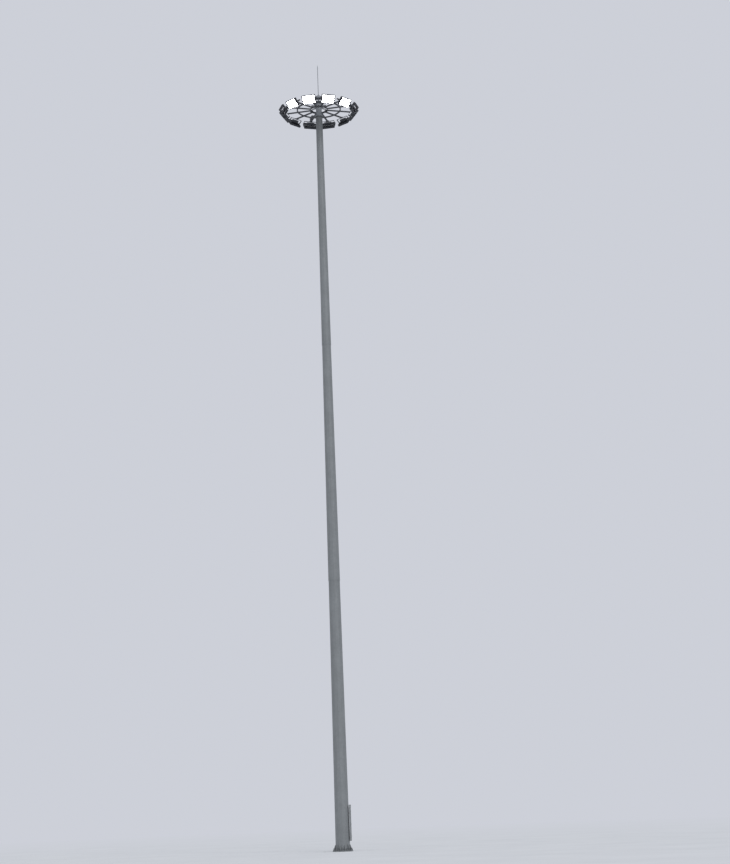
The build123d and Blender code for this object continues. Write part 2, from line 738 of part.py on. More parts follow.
os.makedirs("parts", exist_ok=True)
base_flange.part.label = "base_flange"
export_step(base_flange.part, "parts/base_flange.step")
base_gussets.part.label = "base_gussets"
export_step(base_gussets.part, "parts/base_gussets.step")
mast_lower.part.label = "mast_lower"
export_step(mast_lower.part, "parts/mast_lower.step")
mast_middle.part.label = "mast_middle"
export_step(mast_middle.part, "parts/mast_middle.step")
mast_upper.part.label = "mast_upper"
export_step(mast_upper.part, "parts/mast_upper.step")
door_frame.part.label = "door_frame"
export_step(door_frame.part, "parts/door_frame.step")
service_door.part.label = "service_door"
export_step(service_door.part, "parts/service_door.step")
mast_top_flange.part.label = "mast_top_flange"
export_step(mast_top_flange.part, "parts/mast_top_flange.step")
head_tube.part.label = "head_tube"
export_step(head_tube.part, "parts/head_tube.step")
head_plate.part.label = "head_plate"
export_step(head_plate.part, "parts/head_plate.step")
pulley_cheeks.part.label = "pulley_cheeks"
export_step(pulley_cheeks.part, "parts/pulley_cheeks.step")
rope_pulleys.part.label = "rope_pulleys"
export_step(rope_pulleys.part, "parts/rope_pulleys.step")
pulley_axles.part.label = "pulley_axles"
export_step(pulley_axles.part, "parts/pulley_axles.step")
docking_arms.part.label = "docking_arms"
export_step(docking_arms.part, "parts/docking_arms.step")
docking_buffers.part.label = "docking_buffers"
export_step(docking_buffers.part, "parts/docking_buffers.step")
cap_stand.part.label = "cap_stand"
export_step(cap_stand.part, "parts/cap_stand.step")
rain_cap.part.label = "rain_cap"
export_step(rain_cap.part, "parts/rain_cap.step")
lightning_rod.part.label = "lightning_rod"
export_step(lightning_rod.part, "parts/lightning_rod.step")
guide_ring.part.label = "guide_ring"
export_step(guide_ring.part, "parts/guide_ring.step")
lamp_arms.part.label = "lamp_arms"
export_step(lamp_arms.part, "parts/lamp_arms.step")
arm_end_plates.part.label = "arm_end_plates"
export_step(arm_end_plates.part, "parts/arm_end_plates.step")
support_ring.part.label = "support_ring"
export_step(support_ring.part, "parts/support_ring.step")
roller_forks.part.label = "roller_forks"
export_step(roller_forks.part, "parts/roller_forks.step")
guide_rollers.part.label = "guide_rollers"
export_step(guide_rollers.part, "parts/guide_rollers.step")
roller_axles.part.label = "roller_axles"
export_step(roller_axles.part, "parts/roller_axles.step")
rope_lugs.part.label = "rope_lugs"
export_step(rope_lugs.part, "parts/rope_lugs.step")
lamp_yokes.part.label = "lamp_yokes"
export_step(lamp_yokes.part, "parts/lamp_yokes.step")
lamp_frames.part.label = "lamp_frames"
export_step(lamp_frames.part, "parts/lamp_frames.step")
led_modules.part.label = "led_modules"
export_step(led_modules.part, "parts/led_modules.step")
led_lenses.part.label = "led_lenses"
export_step(led_lenses.part, "parts/led_lenses.step")
driver_boxes.part.label = "driver_boxes"
export_step(driver_boxes.part, "parts/driver_boxes.step")
junction_box.part.label = "junction_box"
export_step(junction_box.part, "parts/junction_box.step")
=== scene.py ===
"""High mast floodlight tower: looks, small fixings, floor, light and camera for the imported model."""

import math
import random

import bpy
from mathutils import Matrix, Vector


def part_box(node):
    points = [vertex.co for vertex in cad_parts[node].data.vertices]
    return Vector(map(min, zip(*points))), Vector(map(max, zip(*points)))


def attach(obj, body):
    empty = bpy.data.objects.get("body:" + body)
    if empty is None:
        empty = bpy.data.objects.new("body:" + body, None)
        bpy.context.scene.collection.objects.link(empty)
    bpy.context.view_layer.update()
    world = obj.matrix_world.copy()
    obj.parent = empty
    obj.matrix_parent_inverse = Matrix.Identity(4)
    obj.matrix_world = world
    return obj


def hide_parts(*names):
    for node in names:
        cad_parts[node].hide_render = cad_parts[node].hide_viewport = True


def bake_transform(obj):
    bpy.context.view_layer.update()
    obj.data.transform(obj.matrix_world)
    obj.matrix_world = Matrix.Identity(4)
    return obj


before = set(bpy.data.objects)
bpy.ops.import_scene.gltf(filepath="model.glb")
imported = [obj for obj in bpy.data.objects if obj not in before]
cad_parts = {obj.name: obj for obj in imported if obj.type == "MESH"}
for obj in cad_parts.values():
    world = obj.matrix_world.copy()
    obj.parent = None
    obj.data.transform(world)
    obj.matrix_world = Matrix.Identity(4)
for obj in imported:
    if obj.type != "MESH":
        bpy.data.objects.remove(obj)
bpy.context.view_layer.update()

random.seed(30)

# Numbers of the axes
X, Y, Z = 0, 1, 2


def span(node, axis):
    """Lowest and highest value of a CAD node along one axis."""
    lowest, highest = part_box(node)
    return lowest[axis], highest[axis]


# Mast and foot, in metres like everything here
SIDE_COUNT = 12
FOOT_RADIUS = 0.2725
TAPER = 0.0053
FLANGE_TOP = span("base_flange", Z)[1]
GUSSET_HALF = 0.007
GUSSET_REACH = 0.365
GUSSET_HEIGHT = 0.220
FIRST_FLAT = 15.0
FOLD_TRIM = 0.04

# Anchor bolts, nuts and washers
ANCHOR_CIRCLE = 0.340
ANCHOR_COUNT = 12
ANCHOR_RADIUS = 0.018
ANCHOR_LENGTH = 0.095
ANCHOR_SPREAD = 0.006
ANCHOR_PITCH = 0.004
ANCHOR_WASHER_RADIUS = 0.033
ANCHOR_WASHER_THICKNESS = 0.006
ANCHOR_WASHER_EDGE = 0.002
ANCHOR_WASHER_RISE = 0.001
NUT_FLATS = 0.055
NUT_HEIGHT = 0.029
LOCKNUT_HEIGHT = 0.018
LOCKNUT_TURN = 0.4

# Sides of the round parts, and the proportions of bolts
ROUND_SIDES = 24
THREAD_SIDES = 14
HEX_CHAMFER = 0.12
HEX_FOOT = 0.93
HEX_CROWN = 0.9
THREAD_ROOT = 0.9
THREAD_TIP = 0.8
THREAD_TIP_RISE = 0.6

# Weld beads
WELD_LIFT = 0.001
FOOT_WELD = 0.006
GUSSET_WELD = 0.0045
HEAD_WELD = 0.005
ARM_WELD = 0.004
ARM_WELD_INSET = 0.002
WELD_SIDES = 6
SMALL_LUMPS = 0.35
LARGE_LUMPS = 0.4
RIM_STEPS = 60
GUSSET_FOOT_STEPS = 12
GUSSET_RISE_STEPS = 16
ARM_STEPS = 6

# Service door on the back, and the collar of its frame
DOOR_Z = sum(span("service_door", Z)) / 2
DOOR_FACE = span("service_door", Y)[1]
DOOR_HALF_WIDTH = span("service_door", X)[1]
HINGE_LEVELS = (-0.33, 0.0, 0.33)
HINGE_OUT = 0.004
HINGE_BACK = 0.002
HINGE_LENGTH = 0.070
HINGE_PROFILE = (
    (0.008, 0), (0.009, 0.001), (0.009, 0.0225), (0.0075, 0.023), (0.0075, 0.024), (0.009, 0.0245),
    (0.009, 0.046), (0.0075, 0.0465), (0.0075, 0.0475), (0.009, 0.048), (0.009, 0.069), (0.008, 0.070),
)
HINGE_LEAF = (0.030, 0.003, 0.060)
HINGE_LEAF_IN = 0.014
HINGE_LEAF_OUT = 0.0015
HINGE_LEAF_EDGE = 0.0008
LOCK_LEVELS = (-0.30, 0.30)
LOCK_IN = 0.034
LOCK_PROFILE = ((0.018, 0), (0.018, 0.004), (0.016, 0.006), (0.009, 0.006), (0.009, 0.002))
COLLAR_HALF_WIDTH = 0.165
COLLAR_HALF_HEIGHT = 0.490
COLLAR_CORNER = 0.100
COLLAR_GAP = 0.002

# Slim cabinet on the right side of the mast
CABINET_BACK = 0.2716
CABINET_FRONT = 0.340
CABINET_HALF_WIDTH = 0.145
CABINET_FOOT_Z = 0.380
CABINET_HEAD_Z = 1.620
CABINET_EDGE = 0.005
HOOD_RISE = 0.095
HOOD_LAP = 0.012
HOOD_GAP = 0.001
HOOD_STEPS = 20
LEAF_THICKNESS = 0.004
LEAF_OUT = 0.0022
LEAF_EDGE = 0.0015
LEAF_MARGIN = 0.008
LEAF_END_MARGIN = 0.015
PANEL_THICKNESS = 0.003
PANEL_OUT = 0.0048
PANEL_EDGE = 0.0012
PANEL_MARGIN = 0.045
PANEL_END_MARGIN = 0.165
PANEL_DROP = 0.060
SLAT_COUNT = 6
SLAT_SIZE = (0.010, 0.120, 0.003)
SLAT_OUT = 0.0055
SLAT_DROP = 0.060
SLAT_PITCH = 0.018
SLAT_TILT = 0.5
BRACKET_LEVELS = (0.60, 1.40)
BRACKET_PLATES = (-0.024, 0.0, 0.024)
BRACKET_HALF_WIDTH = 0.060
BRACKET_HALF_THICKNESS = 0.003
BRACKET_GAP = 0.0006
KNUCKLE_INSET = 0.16
KNUCKLE_HALF = 0.030
KNUCKLE_OUT = 0.006
KNUCKLE_IN = 0.002
KNUCKLE_PROFILE = (
    (0.006, 0), (0.007, 0.001), (0.007, 0.029), (0.0055, 0.030),
    (0.0055, 0.031), (0.007, 0.032), (0.007, 0.059), (0.006, 0.060),
)
KNUCKLE_SIDES = 16
LATCH_IN = 0.028
LATCH_PROFILE = ((0.014, 0), (0.014, 0.003), (0.012, 0.005), (0.006, 0.005), (0.006, 0.002))
LATCH_SIDES = 20
LATCH_BAR = (0.010, 0.034, 0.004)
LATCH_BAR_OUT = 0.0065

# Bolted joint at the top of the mast, where the head tube's flange is as thick as the mast's
HEAD_FLANGE_LOW, HEAD_FLANGE_MID = span("mast_top_flange", Z)
HEAD_FLANGE_HIGH = 2 * HEAD_FLANGE_MID - HEAD_FLANGE_LOW
HEAD_BOLT_CIRCLE = 0.145
HEAD_BOLT_COUNT = 8
HEAD_BOLT_RADIUS = 0.008
HEAD_BOLT_TAIL = 0.026
HEAD_BOLT_NUT = 0.013
HEAD_TUBE_RADIUS = 0.118
HEAD_WASHER_THICKNESS = 0.0036
HEAD_WASHER_RISE = 0.0006

# Small bolts of the head joint and the floodlights
SMALL_PITCH = 0.002
SMALL_FLATS = 0.024
SMALL_HEAD_HEIGHT = 0.010
SMALL_WASHER_RADIUS = 0.015

# Pulleys, hoist ropes and their ends on the carriage
PULLEY_ANGLES = (90.0, 210.0, 330.0)
PULLEY_Z = 29.765
PULLEY_AXLE_RADIUS = 0.297
ROPE_PATH_RADIUS = 0.0342
ROPE_RADIUS = 0.005
ROPE_SIDES = 10
ROPE_STARTS = (0.110, 0.180)
ROPE_TURN_STEPS = 12
ROPE_DROPS = ((0.0, 0.012), (0.2, 0.024), (0.45, 0.036), (0.7, 0.048), (1.0, 0.062))
LUG_HOLE_RADIUS = 0.335
LUG_HOLE_Z = 29.672
LUG_HALF = 0.008
PIN_RADIUS = 0.0065
PIN_LENGTH = 0.034
PIN_BEVEL = 0.0003
PIN_BEVEL_RISE = 0.0006
PIN_SIDES = 16
PIN_NUT_FLATS = 0.016
PIN_NUT_HEIGHT = 0.006
PIN_NUT_OUT = 0.0135
CLEVIS_SIDE = (0.018, 0.005, 0.034)
CLEVIS_SIDE_OUT = 0.0028
CLEVIS_SIDE_RISE = 0.008
CLEVIS_TOP = (0.018, 0.0266, 0.008)
CLEVIS_TOP_RISE = 0.0225
CLEVIS_EDGE = 0.0015
SOCKET_RISE = 0.026
SOCKET_PROFILE = ((0.0095, 0), (0.010, 0.002), (0.0065, 0.018), (0.0058, 0.020))
SOCKET_SIDES = 18

# Carriage arms and rings
ARM_LEVEL = sum(span("lamp_arms", Z)) / 2
ARM_HALF_WIDTH = 0.033
ARM_HALF_HEIGHT = 0.020
GUIDE_RING_OUTER = 0.356
SUPPORT_RING = 0.880
RING_HALF = 0.025

# Floodlights
LAMP_COUNT = 12
FIRST_LAMP = 15.0
LAMP_ANGLES = [FIRST_LAMP + 360.0 / LAMP_COUNT * k for k in range(LAMP_COUNT)]
LAMP_TILT = math.radians(52.0)
LAMP_CIRCLE = 1.490
ARM_SEAT = 0.214
LAMP_Z = ARM_LEVEL - ARM_SEAT * math.cos(LAMP_TILT)
YOKE_REACH = 0.200
FRAME_LENGTH = 0.5506
FRAME_HALF_HEIGHT = 0.040
BOSS_AND_YOKE = 0.0103
MODULE_PITCH = 0.115
MODULE_FRONT = -0.030
TRAY_BACK = 0.044
DRIVER_LID = 0.146

# Cells of the lamps' optics: square wells with a lit chip at the bottom of each
CELLS_LONG = 28
CELLS_DEEP = 4
CELL = 0.0170
OPEN_HALF = 0.0081
CHIP_HALF = 0.0068
CELL_FRONT = -0.0396
CELL_BACK = -0.0306
SQUARE = ((-1, -1), (1, -1), (1, 1), (-1, 1))

# Bolts and screws of the floodlights
PIVOT_WASHER_RADIUS = 0.0195
THIN_WASHER = 0.003
YOKE_BOLT_OFFSET = 0.035
YOKE_FLATS = 0.022
YOKE_HEAD_HEIGHT = 0.009
YOKE_NUT_HEIGHT = 0.011
YOKE_BOLT_RADIUS = 0.007
YOKE_BOLT_TAIL = 0.022
FRAME_SCREW_X = 0.260
FRAME_SCREW_ROWS = (-0.155, -0.078, 0.0, 0.078, 0.155)
LID_SCREW_X = 0.142
TRAY_SCREW_X = 0.258
LID_SCREW_Y = 0.034
FLUSH_SCREW = ((0.0055, -0.001), (0.0055, -0.0002), (0.0045, 0.0), (0.002, 0.0))
DOME_SCREW = ((0.006, 0), (0.006, 0.002), (0.0045, 0.0035), (0.002, 0.004))
SCREW_SIDES = 12

# Finishes, floor and light
# Heights over which the mast's zinc is darkened with painted shade of the carriage above
CARRIAGE_SHADE_LOW = 27.80
CARRIAGE_SHADE_HIGH = 29.10
SHARP_FOLD = math.radians(32)
BACKDROP = (0.610, 0.630, 0.690)
FLOOR_LEVEL = -0.002
FLOOR_RADII = (6.0, 20.0, 60.0, 200.0, 1500.0)
FLOOR_SPOKES = 64
FADE_START = 14.0
FADE_LENGTH = 60.0
SKY_LIGHT = (0.93, 0.96, 1.0)
SKY_STRENGTH = 0.72
SUN_AZIMUTH = math.radians(25.0)
SUN_ELEVATION = math.radians(42.0)
SUN_STRENGTH = 0.9
SUN_SPREAD = math.radians(50.0)

# Camera: the photo's focal length and height are in its pixels
PHOTO_FOCAL = 1786.6
PHOTO_HEIGHT = 864.0
SENSOR = 36.0
CLIP_NEAR = 0.5
CLIP_FAR = 4000.0
CAMERA_PLACE = (0, -69.02, 1.6)
CAMERA_PITCH = math.radians(11.851)
CAMERA_YAW = math.radians(1.168)
CAMERA_ROLL = math.radians(-2.11)

FACE_DOWN = Matrix.Rotation(math.pi, 4, "X")
ALONG_X = Matrix.Rotation(math.pi / 2, 4, "Y")
ALONG_BACK_X = Matrix.Rotation(-math.pi / 2, 4, "Y")
ALONG_Y = Matrix.Rotation(-math.pi / 2, 4, "X")


# Mesh tools
class Form:
    """Collects faces for one joined piece."""

    def __init__(self):
        self.points = []
        self.faces = []

    def loft(self, rings, cap_start=True, cap_end=True):
        """Joins rings of equal length into a skin, with flat ends."""
        base = len(self.points)
        count = len(rings[0])
        for ring in rings:
            self.points.extend(ring)
        for k in range(len(rings) - 1):
            for i in range(count):
                a = base + k * count + i
                b = base + k * count + (i + 1) % count
                self.faces.append((a, b, b + count, a + count))
        if cap_start:
            self.faces.append(tuple(reversed(range(base, base + count))))
        if cap_end:
            last = base + (len(rings) - 1) * count
            self.faces.append(tuple(range(last, last + count)))

    def lathe(self, place, profile, count=ROUND_SIDES):
        """Turns (radius, height) pairs about the local z axis of a placing matrix."""
        rings = []
        for radius, height in profile:
            rings.append([place @ point for point in circle(radius, height, count)])
        self.loft(rings)

    def disc(self, place, radius, thickness, bevel=0.0005, rise=0.0005, count=ROUND_SIDES):
        """A washer or pin: a short cylinder with both edges bevelled."""
        inner = radius - bevel
        profile = ((inner, 0), (radius, rise), (radius, thickness - rise), (inner, thickness))
        self.lathe(place, profile, count)

    def hexagon(self, place, across_flats, height):
        """A chamfered hexagon nut or bolt head standing on the local xy plane."""
        corner = across_flats / math.sqrt(3)
        chamfer = HEX_CHAMFER * height
        rings = []
        for share, level in ((HEX_FOOT, 0), (1.0, chamfer), (1.0, height - chamfer), (HEX_CROWN, height)):
            ring = []
            for i in range(ROUND_SIDES):
                a = 2 * math.pi * i / ROUND_SIDES
                wrapped = (a % (math.pi / 3)) - math.pi / 6
                radius = min(across_flats / 2 / math.cos(wrapped), corner * share)
                ring.append(place @ Vector((radius * math.cos(a), radius * math.sin(a), level)))
            rings.append(ring)
        self.loft(rings)

    def thread(self, place, radius, length, pitch):
        """A stud with turned grooves and a chamfered tip."""
        profile = [(radius, 0)]
        turns = int(length / pitch)
        for k in range(turns):
            profile.append((radius * THREAD_ROOT, (k + 0.5) * pitch))
            profile.append((radius, (k + 1) * pitch))
        profile.append((radius * THREAD_TIP, turns * pitch + pitch * THREAD_TIP_RISE))
        self.lathe(place, profile, THREAD_SIDES)

    def sweep(self, path, radius, count=WELD_SIDES, lumps=0.0):
        """A round bar along a path; lumps make its thickness uneven like a weld bead's."""
        rings = []
        side = None
        for k, point in enumerate(path):
            ahead = path[min(k + 1, len(path) - 1)] - path[max(k - 1, 0)]
            ahead.normalize()
            if side is None:
                guess = Vector((0, 0, 1)) if abs(ahead.z) < 0.9 else Vector((1, 0, 0))
                side = ahead.cross(guess).normalized()
            side = (side - ahead * side.dot(ahead)).normalized()
            other = ahead.cross(side)
            size = radius * (1 + lumps * (random.random() - 0.5))
            rings.append([point + side * spot.x + other * spot.y for spot in circle(size, 0, count)])
        self.loft(rings)

    def block(self, place, size, bevel=0.001):
        """A box with chamfered edges, centred on the placing matrix."""
        x, y, z = (s / 2 for s in size)
        b = min(bevel, x * 0.5, y * 0.5, z * 0.5)
        rings = []
        for inset, level in ((b, -z), (0, -z + b), (0, z - b), (b, z)):
            u, w = x - inset, y - inset
            outline = ((u - b, -w), (u, -w + b), (u, w - b), (u - b, w))
            outline += ((-u + b, w), (-u, w - b), (-u, -w + b), (-u + b, -w))
            rings.append([place @ Vector((p[0], p[1], level)) for p in outline])
        self.loft(rings)

    def build(self, name, material, smooth=True, folds=True):
        """Makes the Blender object; folds keeps its steep edges sharp under smooth shading."""
        mesh = bpy.data.meshes.new(name)
        mesh.from_pydata(self.points, [], self.faces)
        mesh.validate()
        mesh.update()
        for polygon in mesh.polygons:
            polygon.use_smooth = smooth
        if smooth and folds:
            mesh.set_sharp_from_angle(angle=SHARP_FOLD)
        mesh.materials.append(material)
        made = bpy.data.objects.new(name, mesh)
        bpy.context.scene.collection.objects.link(made)
        return made

    def piece(self, name, body, material, smooth=True):
        """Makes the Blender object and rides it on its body."""
        made = self.build(name, material, smooth)
        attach(made, body)
        return made


def circle(radius, height, count):
    """Points round the local z axis."""
    points = []
    for i in range(count):
        a = 2 * math.pi * i / count
        points.append(Vector((radius * math.cos(a), radius * math.sin(a), height)))
    return points


def line(first, second, steps):
    """Evenly spaced points from one place to another, both ends included."""
    return [first.lerp(second, i / steps) for i in range(steps + 1)]


def turned(angle_degrees, radius=0.0, height=0.0):
    """Placing matrix at a polar angle: local x outward, y along the circle, z up."""
    spin = Matrix.Rotation(math.radians(angle_degrees), 4, "Z")
    return spin @ Matrix.Translation((radius, 0, height))


def shifted(place, x=0.0, y=0.0, z=0.0):
    """A placing matrix moved along its own axes."""
    return place @ Matrix.Translation((x, y, z))


def lamp_place(angle_degrees):
    """Placing matrix of one floodlight: x along it, y up the slope, z out of its back."""
    a = math.radians(angle_degrees)
    outward = Vector((math.cos(a), math.sin(a), 0))
    along = Vector((math.sin(a), -math.cos(a), 0))
    back = outward * -math.sin(LAMP_TILT) + Vector((0, 0, math.cos(LAMP_TILT)))
    slope = outward * math.cos(LAMP_TILT) + Vector((0, 0, math.sin(LAMP_TILT)))
    place = Matrix((along, slope, back)).transposed().to_4x4()
    place.translation = outward * LAMP_CIRCLE + Vector((0, 0, LAMP_Z))
    return place


def tube_corner(z):
    """Distance from the axis to a fold of the lowest section."""
    return FOOT_RADIUS - TAPER * z


def tube_side(z, across):
    """Distance out to the skin of the lowest section, some way to one side of a fold."""
    return tube_corner(z) - abs(across) * math.tan(math.pi / SIDE_COUNT)


def folded_outline(z, lift, steps=9):
    """Closed run of points just outside the folded tube at one height."""
    points = []
    for k in range(SIDE_COUNT):
        first = turned(360.0 / SIDE_COUNT * k, tube_corner(z) + lift, z).translation
        second = turned(360.0 / SIDE_COUNT * (k + 1), tube_corner(z) + lift, z).translation
        points += line(first.lerp(second, FOLD_TRIM), first.lerp(second, 1 - FOLD_TRIM), steps)
    return points + points[:1]


def rounded_rectangle(half_width, half_height, corner, arc_steps=8, side_steps=24):
    """Closed run of (across, up) pairs round a rectangle with round corners."""
    centres = ((1, 1), (-1, 1), (-1, -1), (1, -1))
    points = []
    for k, (u, w) in enumerate(centres):
        middle_x = u * (half_width - corner)
        middle_y = w * (half_height - corner)
        for i in range(arc_steps + 1):
            a = math.pi / 2 * (k + i / arc_steps)
            points.append((middle_x + corner * math.cos(a), middle_y + corner * math.sin(a)))
    dense = []
    for (x0, y0), (x1, y1) in zip(points, points[1:] + points[:1]):
        parts = side_steps if math.hypot(x1 - x0, y1 - y0) > corner else 1
        for i in range(parts):
            dense.append((x0 + (x1 - x0) * i / parts, y0 + (y1 - y0) * i / parts))
    return dense + dense[:1]


# Materials
class Nodes:
    """Small helper that writes one node material."""

    def __init__(self, name):
        self.material = bpy.data.materials.new(name)
        self.material.use_nodes = True
        self.tree = self.material.node_tree
        self.tree.nodes.clear()
        self.output = self.tree.nodes.new("ShaderNodeOutputMaterial")
        self.coordinates = self.tree.nodes.new("ShaderNodeTexCoord").outputs["Object"]

    def link(self, source, target):
        self.tree.links.new(source, target)

    def stretched(self, x, y, z):
        """Object coordinates scaled along each axis, for streaks."""
        node = self.tree.nodes.new("ShaderNodeMapping")
        node.inputs["Scale"].default_value = (x, y, z)
        self.link(self.coordinates, node.inputs["Vector"])
        return node.outputs["Vector"]

    def noise(self, scale, detail=4.0, roughness=0.55, vector=None):
        node = self.tree.nodes.new("ShaderNodeTexNoise")
        node.inputs["Scale"].default_value = scale
        node.inputs["Detail"].default_value = detail
        node.inputs["Roughness"].default_value = roughness
        self.link(vector or self.coordinates, node.inputs["Vector"])
        return node.outputs["Fac"]

    def cells(self, scale):
        """A random value in each cell of a Voronoi pattern."""
        node = self.tree.nodes.new("ShaderNodeTexVoronoi")
        node.inputs["Scale"].default_value = scale
        self.link(self.coordinates, node.inputs["Vector"])
        split = self.tree.nodes.new("ShaderNodeSeparateColor")
        self.link(node.outputs["Color"], split.inputs[0])
        return split.outputs[0]

    def ramp(self, factor, *stops):
        """Colours at given places of a factor, blended between them."""
        node = self.tree.nodes.new("ShaderNodeValToRGB")
        band = node.color_ramp
        while len(band.elements) < len(stops):
            band.elements.new(0.5)
        for element, (place, colour) in zip(band.elements, stops):
            element.position = place
            element.color = (*colour, 1)
        self.link(factor, node.inputs["Fac"])
        return node.outputs["Color"]

    def mask(self, factor, low, high):
        """Black below one value, white above another."""
        return self.ramp(factor, (low, (0, 0, 0)), (high, (1, 1, 1)))

    def put(self, value, socket):
        """Links a node's output to a socket, or sets the socket to a colour or number."""
        if hasattr(value, "is_output"):
            self.link(value, socket)
        elif isinstance(value, tuple):
            socket.default_value = (*value, 1)
        else:
            socket.default_value = value

    def mix(self, factor, first, second):
        node = self.tree.nodes.new("ShaderNodeMix")
        node.data_type = "RGBA"
        for value, number in ((factor, 0), (first, 6), (second, 7)):
            self.put(value, node.inputs[number])
        return node.outputs[2]

    def math(self, operation, first, second=0.0, clamp=False):
        node = self.tree.nodes.new("ShaderNodeMath")
        node.operation = operation
        node.use_clamp = clamp
        self.put(first, node.inputs[0])
        self.put(second, node.inputs[1])
        return node.outputs[0]

    def varied(self, factor, amount, least):
        """A number that a texture raises by up to an amount above its least."""
        return self.math("ADD", self.math("MULTIPLY", factor, amount), least)

    def axes(self):
        """Outputs with the x, y and z of the object coordinates."""
        node = self.tree.nodes.new("ShaderNodeSeparateXYZ")
        self.link(self.coordinates, node.inputs[0])
        return node.outputs

    def bump(self, height, strength, distance, under=None):
        node = self.tree.nodes.new("ShaderNodeBump")
        node.inputs["Strength"].default_value = strength
        node.inputs["Distance"].default_value = distance
        self.link(height, node.inputs["Height"])
        if under is not None:
            self.link(under, node.inputs["Normal"])
        return node.outputs["Normal"]

    def shader(self, colour, roughness, metallic=0.0, normal=None, **sockets):
        """The surface shader; further sockets are named with _ for each space."""
        node = self.tree.nodes.new("ShaderNodeBsdfPrincipled")
        self.put(colour, node.inputs["Base Color"])
        self.put(roughness, node.inputs["Roughness"])
        self.put(metallic, node.inputs["Metallic"])
        for name, value in sockets.items():
            self.put(value, node.inputs[name.replace("_", " ")])
        if normal is not None:
            self.link(normal, node.inputs["Normal"])
        self.link(node.outputs["BSDF"], self.output.inputs["Surface"])
        return self.material


def scaled(colour, share):
    """A colour made darker or lighter by one share."""
    return tuple(c * share for c in colour)


def galvanised(name, tone, stain, streaks=1.0, carriage_shade=0.0):
    """Dull weathered zinc: spangle, cloudy patches and run-down streaks, with painted shade of the
    carriage darkening the top below the lamps.
    """
    n = Nodes(name)
    spangle = n.cells(95.0)
    clouds = n.noise(1.7, 5.0, 0.6)
    patches = n.noise(9.0, 6.0, 0.65)
    runs = n.noise(1.0, 6.0, 0.6, n.stretched(26.0, 26.0, 0.7))
    fine = n.noise(420.0, 3.0, 0.6)
    base = n.ramp(clouds, (0.28, scaled(tone, 0.86)), (0.55, tone), (0.78, scaled(tone, 1.12)))
    base = n.mix(0.22, base, n.ramp(spangle, (0.0, scaled(tone, 0.72)), (1.0, scaled(tone, 1.3))))
    base = n.mix(n.math("MULTIPLY", n.mask(patches, 0.42, 0.62), 0.25), base, scaled(tone, 0.78))
    base = n.mix(n.math("MULTIPLY", n.mask(runs, 0.48, 0.7), 0.3 * streaks), base, stain)
    # Painted shade: the zinc grows darker towards the top, under the carriage
    under_carriage = n.math("SUBTRACT", n.axes()[Z], CARRIAGE_SHADE_LOW)
    under_carriage = n.math("DIVIDE", under_carriage, CARRIAGE_SHADE_HIGH - CARRIAGE_SHADE_LOW, clamp=True)
    base = n.mix(n.math("MULTIPLY", under_carriage, carriage_shade), base, scaled(tone, 0.2))
    normal = n.bump(patches, 0.2, 0.002, n.bump(fine, 0.25, 0.0006))
    return n.shader(base, n.varied(patches, 0.25, 0.5), 0.25, normal)


def dark_alloy(name, tone, dust):
    """Powder-coated or anodised lamp metal with dust and faded patches."""
    n = Nodes(name)
    clouds = n.noise(6.0, 5.0, 0.6)
    grit = n.noise(900.0, 2.0, 0.5)
    scuffs = n.noise(60.0, 6.0, 0.7, n.stretched(1.0, 1.0, 4.0))
    base = n.ramp(clouds, (0.3, scaled(tone, 0.75)), (0.6, tone), (0.8, scaled(tone, 1.35)))
    base = n.mix(n.math("MULTIPLY", n.mask(scuffs, 0.5, 0.72), 0.3), base, dust)
    normal = n.bump(grit, 0.3, 0.0003)
    return n.shader(base, n.varied(clouds, 0.2, 0.42), 0.0, normal, Specular_IOR_Level=0.4)


def soft_rubber():
    """Worn black rubber of the rollers and buffers."""
    n = Nodes("roller_rubber")
    wear = n.noise(45.0, 6.0, 0.7)
    grain = n.noise(300.0, 3.0, 0.6)
    base = n.ramp(wear, (0.35, (0.012, 0.012, 0.013)), (0.7, (0.05, 0.05, 0.05)))
    return n.shader(base, n.varied(wear, 0.2, 0.68), 0.0, n.bump(grain, 0.4, 0.0006))


def turned_steel(name, tone, roughness):
    """Machined steel or zinc-plated bolts, with a little rust in spots."""
    n = Nodes(name)
    marks = n.noise(60.0, 8.0, 0.7, n.stretched(1.0, 1.0, 30.0))
    spots = n.noise(140.0, 5.0, 0.6)
    base = n.ramp(marks, (0.3, scaled(tone, 0.7)), (0.7, scaled(tone, 1.15)))
    base = n.mix(n.math("MULTIPLY", n.mask(spots, 0.6, 0.72), 0.35), base, (0.16, 0.10, 0.06))
    return n.shader(base, n.varied(spots, 0.25, roughness), 0.85, n.bump(marks, 0.15, 0.0004))


def rope_wire():
    """Stranded wire rope: slanting strands by a wave along the rope."""
    n = Nodes("rope_wire")
    wave = n.tree.nodes.new("ShaderNodeTexWave")
    wave.bands_direction = "DIAGONAL"
    wave.inputs["Scale"].default_value = 130.0
    wave.inputs["Distortion"].default_value = 0.4
    n.link(n.coordinates, wave.inputs["Vector"])
    base = n.mix(n.noise(80.0), (0.16, 0.16, 0.165), (0.055, 0.05, 0.045))
    return n.shader(base, 0.45, 0.8, n.bump(wave.outputs["Fac"], 0.8, 0.001))


def led_light():
    """Lit chips, slightly uneven across each one."""
    n = Nodes("led_light")
    colour = n.mix(n.noise(160.0, 2.0), (0.93, 0.965, 1.0), (1.0, 1.0, 1.0))
    return n.shader((0.8, 0.8, 0.78), 0.35, Emission_Color=colour, Emission_Strength=28.0)


def optic_black():
    """Matt black walls of the lamps' cells."""
    n = Nodes("optic_black")
    speck = n.noise(500.0, 3.0)
    base = n.ramp(speck, (0.35, (0.004, 0.004, 0.006)), (0.7, (0.009, 0.009, 0.011)))
    normal = n.bump(speck, 0.2, 0.0002)
    return n.shader(base, n.varied(speck, 0.2, 0.6), 0.0, normal, Specular_IOR_Level=0.08)
